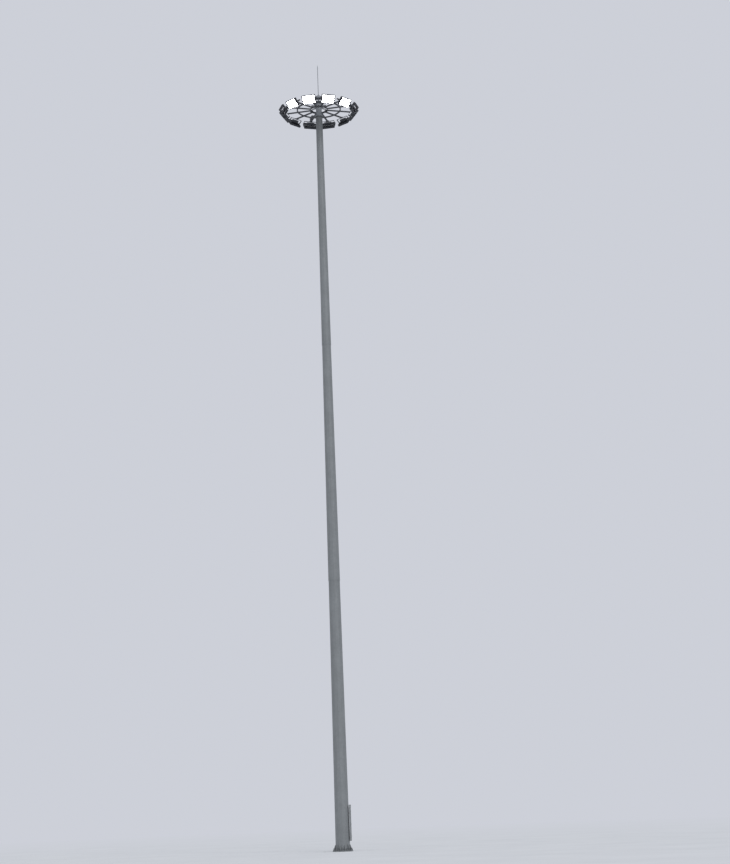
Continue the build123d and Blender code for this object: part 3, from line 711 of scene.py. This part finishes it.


# The mast's zinc carries painted shade of the carriage at its top
mast_zinc = galvanised("mast_zinc", (0.248, 0.262, 0.272), (0.170, 0.176, 0.176), carriage_shade=0.45)
# Painted light: the head's zinc is a lighter copy of the mast's, to lift the shade the head sits in
head_zinc_lightened = galvanised("head_zinc_lightened", (0.265, 0.280, 0.303), (0.14, 0.15, 0.16), 0.8)
carriage_zinc = galvanised("carriage_zinc", (0.075, 0.079, 0.090), (0.045, 0.047, 0.05), 0.6)
lamp_coat = dark_alloy("lamp_coat", (0.021, 0.024, 0.032), (0.055, 0.057, 0.062))
sink_coat = dark_alloy("sink_coat", (0.014, 0.016, 0.022), (0.036, 0.037, 0.040))
driver_coat = dark_alloy("driver_coat", (0.055, 0.060, 0.070), (0.11, 0.11, 0.11))
box_enamel = dark_alloy("box_enamel", (0.085, 0.090, 0.096), (0.12, 0.12, 0.118))
cabinet_enamel = dark_alloy("cabinet_enamel", (0.27, 0.285, 0.295), (0.20, 0.20, 0.195))
rubber = soft_rubber()
pulley_iron = turned_steel("pulley_iron", (0.22, 0.22, 0.23), 0.4)
pin_steel = turned_steel("pin_steel", (0.42, 0.42, 0.43), 0.3)
zinc_bolts = turned_steel("zinc_bolts", (0.24, 0.25, 0.26), 0.42)
wire = rope_wire()
lit = led_light()
optic = optic_black()

finishes = (
    (mast_zinc, "base_flange base_gussets mast_lower mast_middle mast_upper"),
    (mast_zinc, "door_frame service_door mast_top_flange"),
    (head_zinc_lightened, "head_tube head_plate pulley_cheeks docking_arms cap_stand rain_cap lightning_rod"),
    (carriage_zinc, "guide_ring lamp_arms arm_end_plates support_ring roller_forks rope_lugs lamp_yokes"),
    (rubber, "docking_buffers guide_rollers"),
    (pulley_iron, "rope_pulleys"),
    (pin_steel, "pulley_axles roller_axles"),
    (lamp_coat, "lamp_frames"),
    (sink_coat, "led_modules"),
    (driver_coat, "driver_boxes"),
    (box_enamel, "junction_box"),
    (lit, "led_lenses"),
)
for finish, node_names in finishes:
    for node_name in node_names.split():
        for material_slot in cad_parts[node_name].material_slots:
            material_slot.material = finish


# Pieces fixed to the mast
def make_anchor_bolts():
    """Anchor bolts of the foot, each with a washer, a nut and a locknut."""
    anchors = Form()
    for k in range(ANCHOR_COUNT):
        foot = turned(360.0 / ANCHOR_COUNT * k, ANCHOR_CIRCLE, FLANGE_TOP)
        foot = foot @ Matrix.Rotation(random.uniform(0, math.pi), 4, "Z")
        nut = shifted(foot, z=ANCHOR_WASHER_THICKNESS)
        locknut = shifted(nut, z=NUT_HEIGHT) @ Matrix.Rotation(LOCKNUT_TURN, 4, "Z")
        length = ANCHOR_LENGTH + random.uniform(-ANCHOR_SPREAD, ANCHOR_SPREAD)
        washer = (ANCHOR_WASHER_RADIUS, ANCHOR_WASHER_THICKNESS, ANCHOR_WASHER_EDGE, ANCHOR_WASHER_RISE)
        anchors.disc(foot, *washer)
        anchors.hexagon(nut, NUT_FLATS, NUT_HEIGHT)
        anchors.hexagon(locknut, NUT_FLATS, LOCKNUT_HEIGHT)
        anchors.thread(foot, ANCHOR_RADIUS, length, ANCHOR_PITCH)
    anchors.piece("anchor_bolts", "mast", zinc_bolts)


def make_mast_welds():
    """Beads round the foot of the tube, along both sides of each gusset and round the door's collar."""
    welds = Form()
    welds.sweep(folded_outline(FLANGE_TOP, WELD_LIFT), FOOT_WELD, lumps=SMALL_LUMPS)
    flat = tube_corner(0) * math.cos(math.pi / SIDE_COUNT)
    low = FLANGE_TOP + FOOT_WELD
    high = FLANGE_TOP + GUSSET_HEIGHT - FOOT_WELD
    for k in range(SIDE_COUNT):
        stand = turned(FIRST_FLAT + 360.0 / SIDE_COUNT * k)
        for side in (-1, 1):
            edge = side * (GUSSET_HALF + WELD_LIFT)
            root = stand @ Vector((flat, edge, FLANGE_TOP + WELD_LIFT))
            toe = stand @ Vector((GUSSET_REACH, edge, FLANGE_TOP + WELD_LIFT))
            foot = stand @ Vector((flat - TAPER * low + WELD_LIFT, edge, low))
            head = stand @ Vector((flat - TAPER * high + WELD_LIFT, edge, high))
            welds.sweep(line(root, toe, GUSSET_FOOT_STEPS), GUSSET_WELD, lumps=LARGE_LUMPS)
            welds.sweep(line(foot, head, GUSSET_RISE_STEPS), GUSSET_WELD, lumps=LARGE_LUMPS)
    collar = []
    half_width = COLLAR_HALF_WIDTH + COLLAR_GAP
    half_height = COLLAR_HALF_HEIGHT + COLLAR_GAP
    for across, up in rounded_rectangle(half_width, half_height, COLLAR_CORNER):
        collar.append(Vector((across, tube_side(DOOR_Z + up, across) + COLLAR_GAP, DOOR_Z + up)))
    welds.sweep(collar, FOOT_WELD, lumps=SMALL_LUMPS)
    welds.piece("mast_welds", "mast", mast_zinc)


def make_head_welds():
    """Bead round the foot of the head tube."""
    welds = Form()
    rim = []
    for k in range(RIM_STEPS + 1):
        place = turned(360.0 / RIM_STEPS * k, HEAD_TUBE_RADIUS + WELD_LIFT, HEAD_FLANGE_HIGH + WELD_LIFT)
        rim.append(place.translation)
    welds.sweep(rim, HEAD_WELD, lumps=SMALL_LUMPS)
    welds.piece("head_welds", "mast", head_zinc_lightened)


def make_head_bolts():
    """Bolts through the two flanges at the top of the mast."""
    bolts = Form()
    for k in range(HEAD_BOLT_COUNT):
        angle = 360.0 / HEAD_BOLT_COUNT * k
        above = turned(angle, HEAD_BOLT_CIRCLE, HEAD_FLANGE_HIGH)
        below = turned(angle, HEAD_BOLT_CIRCLE, HEAD_FLANGE_LOW) @ FACE_DOWN
        bolts.disc(above, SMALL_WASHER_RADIUS, HEAD_WASHER_THICKNESS, rise=HEAD_WASHER_RISE)
        bolts.hexagon(shifted(above, z=HEAD_WASHER_THICKNESS), SMALL_FLATS, SMALL_HEAD_HEIGHT)
        bolts.hexagon(below, SMALL_FLATS, HEAD_BOLT_NUT)
        bolts.thread(below, HEAD_BOLT_RADIUS, HEAD_BOLT_TAIL, SMALL_PITCH)
    bolts.piece("head_flange_bolts", "mast", zinc_bolts)


def make_door_fittings():
    """Three hinges and two locks of the service door."""
    fittings = Form()
    door = Matrix.Translation((0, DOOR_FACE, DOOR_Z))
    for height in HINGE_LEVELS:
        pin = shifted(door, DOOR_HALF_WIDTH + HINGE_OUT, -HINGE_BACK, height - HINGE_LENGTH / 2)
        leaf = shifted(door, DOOR_HALF_WIDTH - HINGE_LEAF_IN, HINGE_LEAF_OUT, height)
        fittings.lathe(pin, HINGE_PROFILE)
        fittings.block(leaf, HINGE_LEAF, HINGE_LEAF_EDGE)
    for height in LOCK_LEVELS:
        fittings.lathe(shifted(door, x=LOCK_IN - DOOR_HALF_WIDTH, z=height) @ ALONG_Y, LOCK_PROFILE)
    fittings.piece("door_fittings", "mast", zinc_bolts)


def add_cabinet_body(cabinet):
    """Body, door leaf, raised panel and the slats of the vent."""
    middle = (CABINET_FOOT_Z + CABINET_HEAD_Z) / 2
    height = CABINET_HEAD_Z - CABINET_FOOT_Z
    width = 2 * CABINET_HALF_WIDTH
    body = Matrix.Translation(((CABINET_BACK + CABINET_FRONT) / 2, 0, middle))
    leaf = Matrix.Translation((CABINET_FRONT + LEAF_OUT, 0, middle))
    panel = Matrix.Translation((CABINET_FRONT + PANEL_OUT, 0, middle - PANEL_DROP))
    leaf_size = (LEAF_THICKNESS, width - 2 * LEAF_MARGIN, height - 2 * LEAF_END_MARGIN)
    panel_size = (PANEL_THICKNESS, width - 2 * PANEL_MARGIN, height - 2 * PANEL_END_MARGIN)
    cabinet.block(body, (CABINET_FRONT - CABINET_BACK, width, height), CABINET_EDGE)
    cabinet.block(leaf, leaf_size, LEAF_EDGE)
    cabinet.block(panel, panel_size, PANEL_EDGE)
    for k in range(SLAT_COUNT):
        level = CABINET_HEAD_Z - SLAT_DROP - SLAT_PITCH * k
        slat = Matrix.Translation((CABINET_FRONT + SLAT_OUT, 0, level))
        cabinet.block(slat @ Matrix.Rotation(SLAT_TILT, 4, "Y"), SLAT_SIZE)


def add_cabinet_hood(cabinet):
    """Arched hood that laps over the top of the cabinet."""
    half = CABINET_HALF_WIDTH + HOOD_LAP
    spring = CABINET_HEAD_Z - HOOD_LAP
    rise = HOOD_RISE + HOOD_LAP
    sides = []
    for out in (CABINET_BACK + HOOD_GAP, CABINET_FRONT + HOOD_LAP):
        arch = []
        for i in range(HOOD_STEPS + 1):
            a = math.pi * i / HOOD_STEPS
            arch.append(Vector((out, half * math.cos(a), spring + rise * math.sin(a))))
        sides.append(arch)
    cabinet.loft(sides)


def add_cabinet_brackets(cabinet):
    """Wedge plates that fill the corner between the cabinet's back and the folded tube."""
    for z in BRACKET_LEVELS:
        outline = []
        for across in (-BRACKET_HALF_WIDTH, 0.0, BRACKET_HALF_WIDTH):
            outline.append((tube_side(z, across) + BRACKET_GAP, across))
        outline += [(CABINET_BACK, BRACKET_HALF_WIDTH), (CABINET_BACK, -BRACKET_HALF_WIDTH)]
        for level in BRACKET_PLATES:
            rings = []
            for face in (-BRACKET_HALF_THICKNESS, BRACKET_HALF_THICKNESS):
                rings.append([Vector((out, across, z + level + face)) for out, across in outline])
            cabinet.loft(rings)


def add_cabinet_fittings(cabinet):
    """Hinge knuckles and the latch of the cabinet's door."""
    middle = (CABINET_FOOT_Z + CABINET_HEAD_Z) / 2
    for z in (CABINET_FOOT_Z + KNUCKLE_INSET, middle, CABINET_HEAD_Z - KNUCKLE_INSET):
        spot = (CABINET_FRONT + KNUCKLE_OUT, CABINET_HALF_WIDTH - KNUCKLE_IN, z - KNUCKLE_HALF)
        cabinet.lathe(Matrix.Translation(spot), KNUCKLE_PROFILE, KNUCKLE_SIDES)
    spot = (CABINET_FRONT + LEAF_THICKNESS, LATCH_IN - CABINET_HALF_WIDTH, middle)
    latch = Matrix.Translation(spot) @ ALONG_X
    cabinet.lathe(latch, LATCH_PROFILE, LATCH_SIDES)
    cabinet.block(shifted(latch, z=LATCH_BAR_OUT), LATCH_BAR)


def make_side_cabinet():
    """Slim cabinet that the photo shows edge-on, on the right side of the mast."""
    cabinet = Form()
    add_cabinet_body(cabinet)
    add_cabinet_hood(cabinet)
    add_cabinet_brackets(cabinet)
    add_cabinet_fittings(cabinet)
    cabinet.piece("side_cabinet", "mast", cabinet_enamel)


# Pieces fixed to the carriage
def make_carriage_welds():
    """Beads where each arm meets the guide ring and the support ring."""
    welds = Form()
    reach = RING_HALF - ARM_WELD
    for angle in LAMP_ANGLES:
        stand = turned(angle)
        corners = []
        for u, w in SQUARE + SQUARE[:1]:
            across = u * (ARM_HALF_WIDTH + WELD_LIFT)
            level = ARM_LEVEL + w * (ARM_HALF_HEIGHT + WELD_LIFT)
            corners.append(stand @ Vector((GUIDE_RING_OUTER + WELD_LIFT, across, level)))
        for first, second in zip(corners, corners[1:]):
            welds.sweep(line(first, second, ARM_STEPS), ARM_WELD, lumps=LARGE_LUMPS)
        for side in (-1, 1):
            across = side * (ARM_HALF_WIDTH + WELD_LIFT)
            for up in (-1, 1):
                level = ARM_LEVEL + up * (ARM_HALF_HEIGHT - ARM_WELD_INSET)
                first = stand @ Vector((SUPPORT_RING - reach, across, level))
                second = stand @ Vector((SUPPORT_RING + reach, across, level))
                welds.sweep(line(first, second, ARM_STEPS), ARM_WELD, lumps=LARGE_LUMPS)
    welds.piece("carriage_welds", "carriage", carriage_zinc)


def add_cell(optics, emitters, place, x, y):
    """One square well with sloping walls, and the lit chip at its bottom."""
    start = len(optics.points)
    for half, level in ((CELL / 2, CELL_FRONT), (OPEN_HALF, CELL_FRONT), (CHIP_HALF, CELL_BACK)):
        for u, w in SQUARE:
            optics.points.append(place @ Vector((x + u * half, y + w * half, level)))
    for ring in (0, 4):
        for c in range(4):
            a = start + ring + c
            b = start + ring + (c + 1) % 4
            optics.faces.append((b, a, a + 4, b + 4))
    base = len(emitters.points)
    for u, w in SQUARE:
        emitters.points.append(place @ Vector((x + u * CHIP_HALF, y + w * CHIP_HALF, CELL_BACK)))
    emitters.faces.append((base + 3, base + 2, base + 1, base))


def make_lamp_optics():
    """Cells and lit chips on each module's front, in place of the plain lens panels."""
    optics = Form()
    emitters = Form()
    half_x = CELLS_LONG * CELL / 2
    half_y = CELLS_DEEP * CELL / 2
    for angle in LAMP_ANGLES:
        place = lamp_place(angle)
        for row in (-1, 0, 1):
            for i in range(CELLS_LONG):
                for j in range(CELLS_DEEP):
                    x = (i - (CELLS_LONG - 1) / 2) * CELL
                    y = row * MODULE_PITCH + (j - (CELLS_DEEP - 1) / 2) * CELL
                    add_cell(optics, emitters, place, x, y)
            middle = shifted(place, y=row * MODULE_PITCH)
            rim = []
            for level in (CELL_FRONT, MODULE_FRONT):
                rim.append([middle @ Vector((u * half_x, w * half_y, level)) for u, w in SQUARE])
            optics.loft(rim, cap_start=False)
    made = optics.piece("led_optics", "carriage", optic, smooth=False)
    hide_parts("led_lenses")
    emitters.piece("led_emitters", "carriage", lit, smooth=False)


def make_lamp_bolts():
    """Pivot bolts in the yokes' ends and the bolts that hold each yoke to its arm plate."""
    bolts = Form()
    for angle in LAMP_ANGLES:
        place = lamp_place(angle)
        for side, turn in ((-1, ALONG_BACK_X), (1, ALONG_X)):
            pivot = shifted(place, x=side * (FRAME_LENGTH / 2 + BOSS_AND_YOKE)) @ turn
            bolts.disc(pivot, PIVOT_WASHER_RADIUS, THIN_WASHER)
            bolts.hexagon(shifted(pivot, z=THIN_WASHER), SMALL_FLATS, SMALL_HEAD_HEIGHT)
        for x in (-YOKE_BOLT_OFFSET, YOKE_BOLT_OFFSET):
            seat = shifted(place, x=x, z=YOKE_REACH) @ FACE_DOWN
            back = shifted(place, x=x, z=ARM_SEAT)
            bolts.disc(seat, SMALL_WASHER_RADIUS, THIN_WASHER)
            bolts.hexagon(shifted(seat, z=THIN_WASHER), YOKE_FLATS, YOKE_HEAD_HEIGHT)
            bolts.hexagon(back, YOKE_FLATS, YOKE_NUT_HEIGHT)
            bolts.thread(back, YOKE_BOLT_RADIUS, YOKE_BOLT_TAIL, SMALL_PITCH)
    bolts.piece("lamp_bolts", "carriage", zinc_bolts)


def make_lamp_screws():
    """Flush screws on the frame's face, domed ones on the driver's lid and the ends of its tray."""
    screws = Form()
    for angle in LAMP_ANGLES:
        place = lamp_place(angle)
        for x in (-FRAME_SCREW_X, FRAME_SCREW_X):
            for y in FRAME_SCREW_ROWS:
                spot = shifted(place, x, y, -FRAME_HALF_HEIGHT) @ FACE_DOWN
                screws.lathe(spot, FLUSH_SCREW, SCREW_SIDES)
        for half_x, level in ((LID_SCREW_X, DRIVER_LID), (TRAY_SCREW_X, TRAY_BACK)):
            for x in (-half_x, half_x):
                for y in (-LID_SCREW_Y, LID_SCREW_Y):
                    screws.lathe(shifted(place, x, y, level), DOME_SCREW, SCREW_SIDES)
    screws.piece("lamp_screws", "carriage", zinc_bolts)


def rope_path():
    """One hoist rope: out of the head tube, over its pulley and down to its lug."""
    top = PULLEY_Z + ROPE_PATH_RADIUS
    path = [Vector((out, 0, top)) for out in ROPE_STARTS]
    for point in circle(ROPE_PATH_RADIUS, 0, 4 * ROPE_TURN_STEPS)[ROPE_TURN_STEPS::-1]:
        path.append(Vector((PULLEY_AXLE_RADIUS + point.x, 0, PULLEY_Z + point.y)))
    edge = PULLEY_AXLE_RADIUS + ROPE_PATH_RADIUS
    for share, depth in ROPE_DROPS:
        path.append(Vector((edge + share * (LUG_HOLE_RADIUS - edge), 0, PULLEY_Z - depth)))
    return path


def make_hoist_ropes():
    """Three hoist ropes, each from its pulley down to its lug."""
    for number, angle in enumerate(PULLEY_ANGLES, 1):
        spin = turned(angle)
        rope = Form()
        rope.sweep([spin @ point for point in rope_path()], ROPE_RADIUS, ROPE_SIDES)
        made = rope.build("hoist_rope_%d" % number, wire, folds=False)
        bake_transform(made)


def make_rope_sockets():
    """Clevis, pin and swaged socket on the end of each hoist rope."""
    ends = Form()
    for angle in PULLEY_ANGLES:
        hole = turned(angle, LUG_HOLE_RADIUS, LUG_HOLE_Z)
        across = hole @ ALONG_Y
        start = shifted(across, z=-PIN_LENGTH / 2)
        ends.disc(start, PIN_RADIUS, PIN_LENGTH, PIN_BEVEL, PIN_BEVEL_RISE, PIN_SIDES)
        ends.hexagon(shifted(across, z=PIN_NUT_OUT), PIN_NUT_FLATS, PIN_NUT_HEIGHT)
        ends.hexagon(shifted(across, z=-PIN_NUT_OUT) @ FACE_DOWN, PIN_NUT_FLATS, PIN_NUT_HEIGHT)
        for side in (-1, 1):
            cheek = shifted(hole, y=side * (LUG_HALF + CLEVIS_SIDE_OUT), z=CLEVIS_SIDE_RISE)
            ends.block(cheek, CLEVIS_SIDE, CLEVIS_EDGE)
        ends.block(shifted(hole, z=CLEVIS_TOP_RISE), CLEVIS_TOP, CLEVIS_EDGE)
        ends.lathe(shifted(hole, z=SOCKET_RISE), SOCKET_PROFILE, SOCKET_SIDES)
    ends.piece("rope_sockets", "carriage", zinc_bolts)


make_anchor_bolts()
make_mast_welds()
make_head_welds()
make_carriage_welds()
make_head_bolts()
make_lamp_optics()
make_lamp_bolts()
make_lamp_screws()
make_hoist_ropes()
make_rope_sockets()
make_door_fittings()
make_side_cabinet()


# Floor, light and camera
def backdrop_share(tree):
    """Output that is 1 where the camera, a reflection or a clear piece sees the surface."""
    path = tree.nodes.new("ShaderNodeLightPath")
    share = path.outputs["Is Camera Ray"]
    for name in ("Is Glossy Ray", "Is Transmission Ray"):
        either = tree.nodes.new("ShaderNodeMath")
        either.operation = "MAXIMUM"
        tree.links.new(share, either.inputs[0])
        tree.links.new(path.outputs[name], either.inputs[1])
        share = either.outputs[0]
    return share


def pale_floor():
    """Pale blotchy floor near the mast that fades into the backdrop further out."""
    n = Nodes("pale_floor")
    base = n.ramp(n.noise(0.35, 5.0), (0.3, (0.66, 0.67, 0.70)), (0.7, (0.70, 0.71, 0.74)))
    surface = n.tree.nodes.new("ShaderNodeBsdfDiffuse")
    n.link(base, surface.inputs["Color"])
    glow = n.tree.nodes.new("ShaderNodeEmission")
    glow.inputs["Color"].default_value = (*BACKDROP, 1)
    axes = n.axes()
    squares = [n.math("MULTIPLY", axes[axis], axes[axis]) for axis in (X, Y)]
    distance = n.math("SQRT", n.math("ADD", squares[0], squares[1]))
    fade = n.math("DIVIDE", n.math("SUBTRACT", distance, FADE_START), FADE_LENGTH, clamp=True)
    blend = n.tree.nodes.new("ShaderNodeMixShader")
    n.link(n.math("MULTIPLY", fade, backdrop_share(n.tree)), blend.inputs[0])
    n.link(surface.outputs[0], blend.inputs[1])
    n.link(glow.outputs[0], blend.inputs[2])
    n.link(blend.outputs[0], n.output.inputs["Surface"])
    return n.material


def make_floor():
    """Wide flat disc just under the foot."""
    points = [Vector((0, 0, FLOOR_LEVEL))]
    for radius in FLOOR_RADII:
        points += circle(radius, FLOOR_LEVEL, FLOOR_SPOKES)
    faces = []
    for i in range(FLOOR_SPOKES):
        faces.append((0, 1 + i, 1 + (i + 1) % FLOOR_SPOKES))
    for k in range(len(FLOOR_RADII) - 1):
        for i in range(FLOOR_SPOKES):
            a = 1 + k * FLOOR_SPOKES + i
            b = 1 + k * FLOOR_SPOKES + (i + 1) % FLOOR_SPOKES
            faces.append((a, a + FLOOR_SPOKES, b + FLOOR_SPOKES, b))
    mesh = bpy.data.meshes.new("floor")
    mesh.from_pydata(points, [], faces)
    mesh.update()
    mesh.materials.append(pale_floor())
    floor = bpy.data.objects.new("floor", mesh)
    bpy.context.scene.collection.objects.link(floor)


def make_world():
    """Even sky light, with the backdrop's colour where it is seen."""
    world = bpy.data.worlds.new("soft_studio")
    bpy.context.scene.world = world
    world.use_nodes = True
    tree = world.node_tree
    tree.nodes.clear()
    both = tree.nodes.new("ShaderNodeMixShader")
    tree.links.new(backdrop_share(tree), both.inputs[0])
    for number, colour, strength in ((1, SKY_LIGHT, SKY_STRENGTH), (2, BACKDROP, 1.0)):
        sky = tree.nodes.new("ShaderNodeBackground")
        sky.inputs["Color"].default_value = (*colour, 1)
        sky.inputs["Strength"].default_value = strength
        tree.links.new(sky.outputs[0], both.inputs[number])
    out = tree.nodes.new("ShaderNodeOutputWorld")
    tree.links.new(both.outputs[0], out.inputs["Surface"])


def make_sun():
    """Soft sun; its azimuth runs from the camera's side towards the right."""
    data = bpy.data.lights.new("key", "SUN")
    data.energy = SUN_STRENGTH
    data.angle = SUN_SPREAD
    lamp = bpy.data.objects.new("key", data)
    level = Vector((math.sin(SUN_AZIMUTH), -math.cos(SUN_AZIMUTH), 0))
    toward = level * math.cos(SUN_ELEVATION) + Vector((0, 0, math.sin(SUN_ELEVATION)))
    lamp.rotation_mode = "QUATERNION"
    lamp.rotation_quaternion = toward.to_track_quat("Z", "Y")
    bpy.context.scene.collection.objects.link(lamp)


def make_camera():
    """Camera at the photo's place and angle, with the photo's slight lean."""
    data = bpy.data.cameras.new("photo_view")
    data.sensor_width = SENSOR
    data.lens = PHOTO_FOCAL * SENSOR / PHOTO_HEIGHT
    data.clip_start = CLIP_NEAR
    data.clip_end = CLIP_FAR
    camera = bpy.data.objects.new("photo_view", data)
    level = Vector((math.sin(CAMERA_YAW), math.cos(CAMERA_YAW), 0))
    forward = level * math.cos(CAMERA_PITCH) + Vector((0, 0, math.sin(CAMERA_PITCH)))
    flat_right = Vector((math.cos(CAMERA_YAW), -math.sin(CAMERA_YAW), 0))
    flat_up = flat_right.cross(forward)
    right = flat_right * math.cos(CAMERA_ROLL) + flat_up * math.sin(CAMERA_ROLL)
    up = flat_up * math.cos(CAMERA_ROLL) - flat_right * math.sin(CAMERA_ROLL)
    turn = Matrix((right, up, -forward)).transposed().to_4x4()
    camera.matrix_world = Matrix.Translation(CAMERA_PLACE) @ turn
    bpy.context.scene.collection.objects.link(camera)
    bpy.context.scene.camera = camera


make_floor()
make_world()
make_sun()
make_camera()
bpy.context.scene.view_settings.view_transform = "Standard"

bpy.context.view_layer.update()
